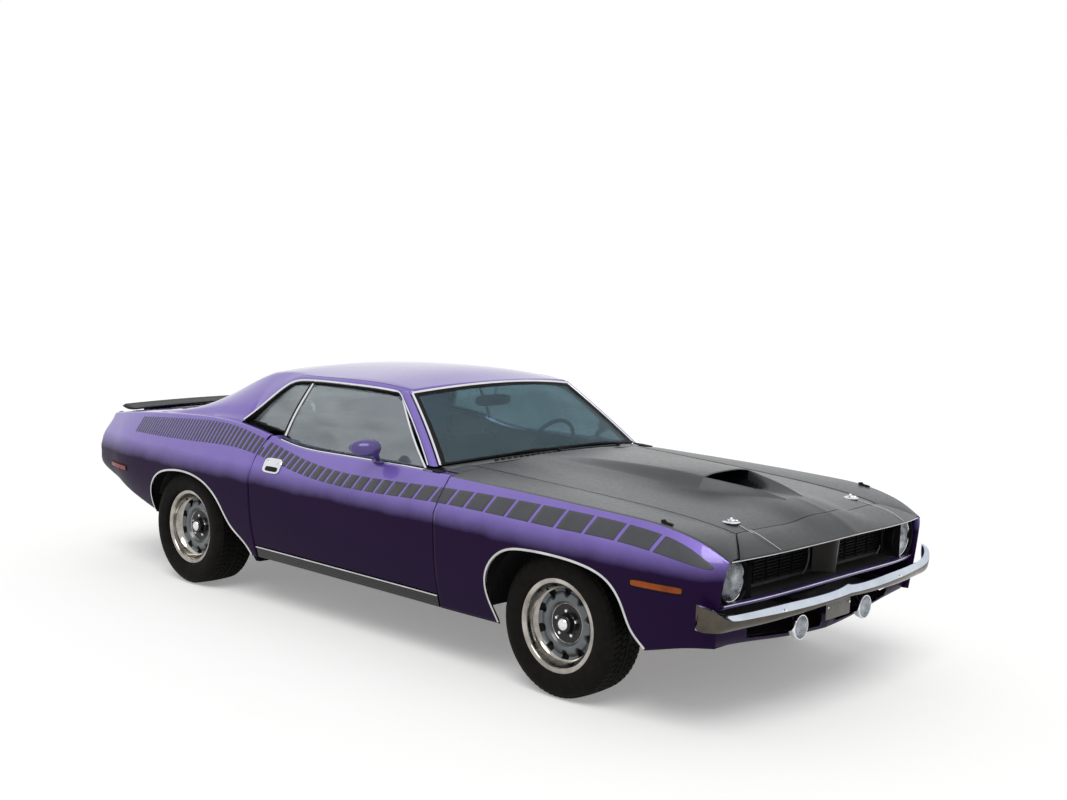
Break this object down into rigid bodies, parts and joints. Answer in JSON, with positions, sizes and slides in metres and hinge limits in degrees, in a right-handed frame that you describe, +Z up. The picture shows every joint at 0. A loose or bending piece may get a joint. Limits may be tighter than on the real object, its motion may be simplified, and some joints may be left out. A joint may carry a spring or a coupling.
{
  "type": "two-door muscle car",
  "caption": "Two-door hardtop muscle car with snorkel hood scoop, rear spoiler, slotted steel wheels, opening doors, hood and trunk lid.",
  "frame": {"origin": "on the ground, midway along the car's length on its centre line", "axes": "+X towards the front, +Y to the car's left, +Z up"},
  "size_m": [4.7445, 1.9268, 1.2928],
  "materials": {
    "body_paint": "metallic gloss",
    "black_paint": "satin",
    "underbody": "satin black",
    "chrome": "polished",
    "black_plastic": "matt",
    "clear_glass": "clear",
    "tinted_glass": "tinted",
    "lamp_lens": "ribbed clear",
    "red_lens": "gloss",
    "marker_lens": "gloss",
    "tyre_rubber": "matt",
    "wheel_steel": "satin grey",
    "cast_steel": "rough",
    "exhaust_steel": "dull",
    "engine_paint": "satin",
    "seat_vinyl": "grained vinyl",
    "cabin_trim": "grained"
  },
  "bodies": {
    "body": {"front_fenders": "body_paint", "quarter_panels": "body_paint", "sills": "body_paint", "roof_shell": "body_paint", "windscreen": "tinted_glass", "backlight": "clear_glass", "quarter_windows": "clear_glass", "cowl": "black_paint", "nose_panels": "black_paint", "grille": "black_plastic", "front_lamps": "lamp_lens", "front_valance": "body_paint", "front_bumper": "chrome", "rear_bumper": "chrome", "tail_panel": "black_paint", "tail_lamps": "red_lens", "side_markers": "marker_lens", "floor_tub": "underbody", "inner_fenders": "underbody", "radiator_support": "underbody", "engine_block": "engine_paint", "exhaust": "exhaust_steel", "fuel_tank": "underbody", "rear_suspension": "cast_steel", "front_suspension": "cast_steel", "front_seats": "seat_vinyl", "rear_seat": "seat_vinyl", "dashboard": "cabin_trim", "steering_wheel": "cabin_trim", "interior_mirror": "cabin_trim"},
    "hood": {"hood": "black_paint", "hood_scoop": "black_paint"},
    "trunk": {"trunk_lid": "body_paint", "rear_spoiler": "black_paint"},
    "door_right": {"door_right": "body_paint", "door_glass_right": "clear_glass", "door_fittings_right": "chrome"},
    "knuckle_right": {"knuckle_right": "cast_steel"},
    "wheel_front_right": {"tyre_front_right": "tyre_rubber", "rim_front_right": "wheel_steel"},
    "wheel_rear_right": {"tyre_rear_right": "tyre_rubber", "rim_rear_right": "wheel_steel"},
    "door_left": {"door_left": "body_paint", "door_glass_left": "clear_glass", "door_fittings_left": "chrome"},
    "knuckle_left": {"knuckle_left": "cast_steel"},
    "wheel_front_left": {"tyre_front_left": "tyre_rubber", "rim_front_left": "wheel_steel"},
    "wheel_rear_left": {"tyre_rear_left": "tyre_rubber", "rim_rear_left": "wheel_steel"}
  },
  "joints": [
    {"name": "door_right_hinge", "type": "hinge", "parent": "body", "child": "door_right", "pos_m": [0.684, -0.92, 0.6], "axis": [0, 0, 1], "range_deg": [0, 65]},
    {"name": "door_left_hinge", "type": "hinge", "parent": "body", "child": "door_left", "pos_m": [0.684, 0.92, 0.6], "axis": [0, 0, -1], "range_deg": [0, 65]},
    {"name": "hood_hinge", "type": "hinge", "parent": "body", "child": "hood", "pos_m": [0.65, 0, 0.932], "axis": [0, -1, 0], "range_deg": [0, 45]},
    {"name": "trunk_hinge", "type": "hinge", "parent": "body", "child": "trunk", "pos_m": [-1.706, 0, 0.948], "axis": [0, 1, 0], "range_deg": [0, 60]},
    {"name": "steer_right", "type": "hinge", "parent": "body", "child": "knuckle_right", "pos_m": [1.441, -0.668, 0.32], "axis": [0, 0, 1], "range_deg": [-32, 32]},
    {"name": "steer_left", "type": "hinge", "parent": "body", "child": "knuckle_left", "pos_m": [1.441, 0.668, 0.32], "axis": [0, 0, 1], "range_deg": [-32, 32]},
    {"name": "wheel_front_right_spin", "type": "hinge", "parent": "knuckle_right", "child": "wheel_front_right", "pos_m": [1.441, -0.758, 0.32], "axis": [0, 1, 0], "continuous": true},
    {"name": "wheel_front_left_spin", "type": "hinge", "parent": "knuckle_left", "child": "wheel_front_left", "pos_m": [1.441, 0.758, 0.32], "axis": [0, 1, 0], "continuous": true},
    {"name": "wheel_rear_right_spin", "type": "hinge", "parent": "body", "child": "wheel_rear_right", "pos_m": [-1.302, -0.771, 0.32], "axis": [0, 1, 0], "continuous": true},
    {"name": "wheel_rear_left_spin", "type": "hinge", "parent": "body", "child": "wheel_rear_left", "pos_m": [-1.302, 0.771, 0.32], "axis": [0, 1, 0], "continuous": true}
  ],
  "couplings": [
    {"joint": "steer_left", "follows": "steer_right", "ratio": 1}
  ]
}
